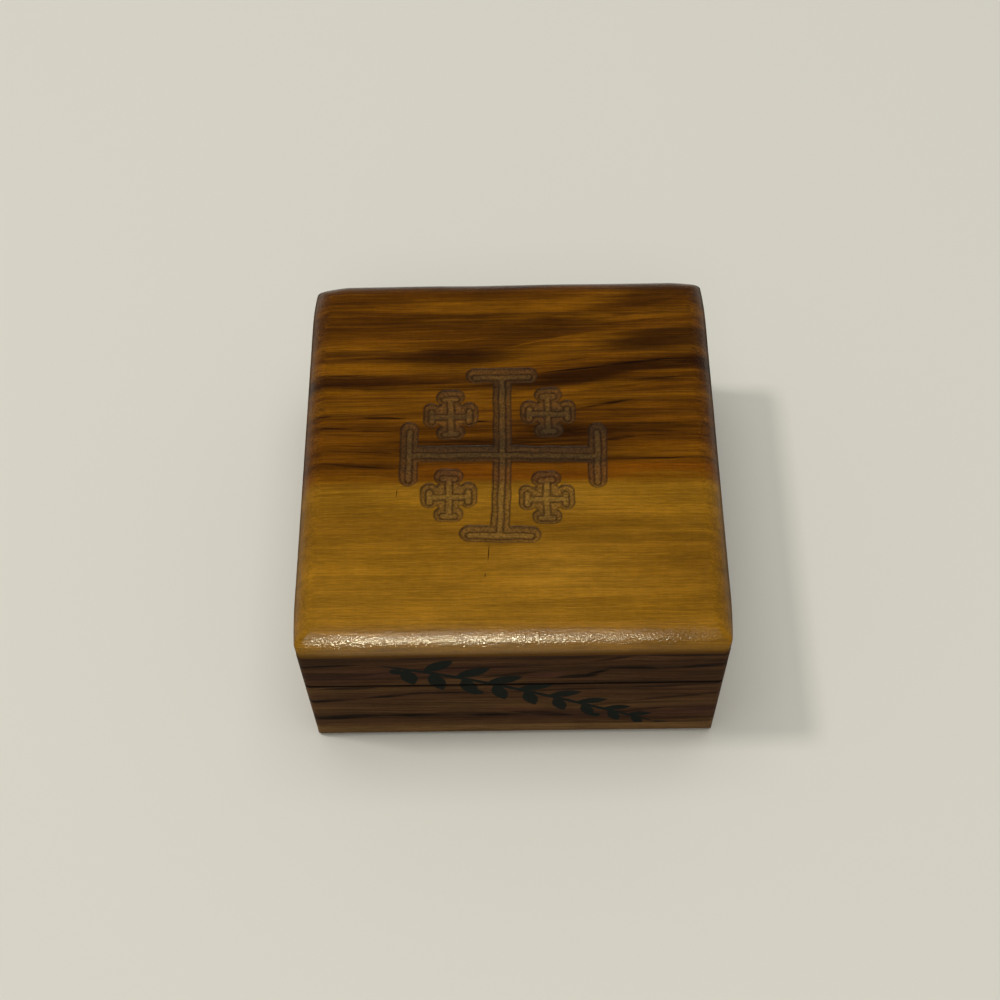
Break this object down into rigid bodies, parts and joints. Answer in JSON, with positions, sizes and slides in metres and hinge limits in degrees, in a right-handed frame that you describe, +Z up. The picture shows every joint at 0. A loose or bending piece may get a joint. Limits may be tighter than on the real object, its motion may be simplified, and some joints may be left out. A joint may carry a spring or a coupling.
{
  "type": "trinket box",
  "caption": "Small square wooden box with a hinged lid, rounded upper edges, and a cross potent with crosslets carved into the top.",
  "frame": {"origin": "centre of the flat underside of the wooden box, midway between its left and right sides and midway between the front face and the back face of the wood", "axes": "+Z up, -Y the front face, +X to the right as seen from the front; the hinge is on the +Y side"},
  "size_m": [0.08, 0.0862, 0.0415],
  "materials": {
    "lid_top_wood": "satin lacquer",
    "side_wood": "satin lacquer",
    "bottom_wood": "satin lacquer",
    "brass": "stamped, dulled",
    "hinge_pin": "drawn wire"
  },
  "bodies": {
    "base": {"bottom_plate": "bottom_wood", "base_front_wall": "side_wood", "base_back_wall": "side_wood", "base_left_wall": "side_wood", "base_right_wall": "side_wood", "base_hinge_leaf_left": "brass", "base_hinge_leaf_right": "brass", "hinge_pin_left": "hinge_pin", "hinge_pin_right": "hinge_pin", "base_hinge_nails": "brass"},
    "lid": {"top_plate": "lid_top_wood", "lid_front_rail": "side_wood", "lid_back_rail": "side_wood", "lid_left_rail": "side_wood", "lid_right_rail": "side_wood", "lid_hinge_leaf_left": "brass", "lid_hinge_leaf_right": "brass", "lid_hinge_nails": "brass"}
  },
  "joints": [
    {"name": "lid_hinge", "type": "hinge", "parent": "base", "child": "lid", "pos_m": [0, 0.0432, 0.0239], "axis": [-1, 0, 0], "range_deg": [0, 180]}
  ]
}
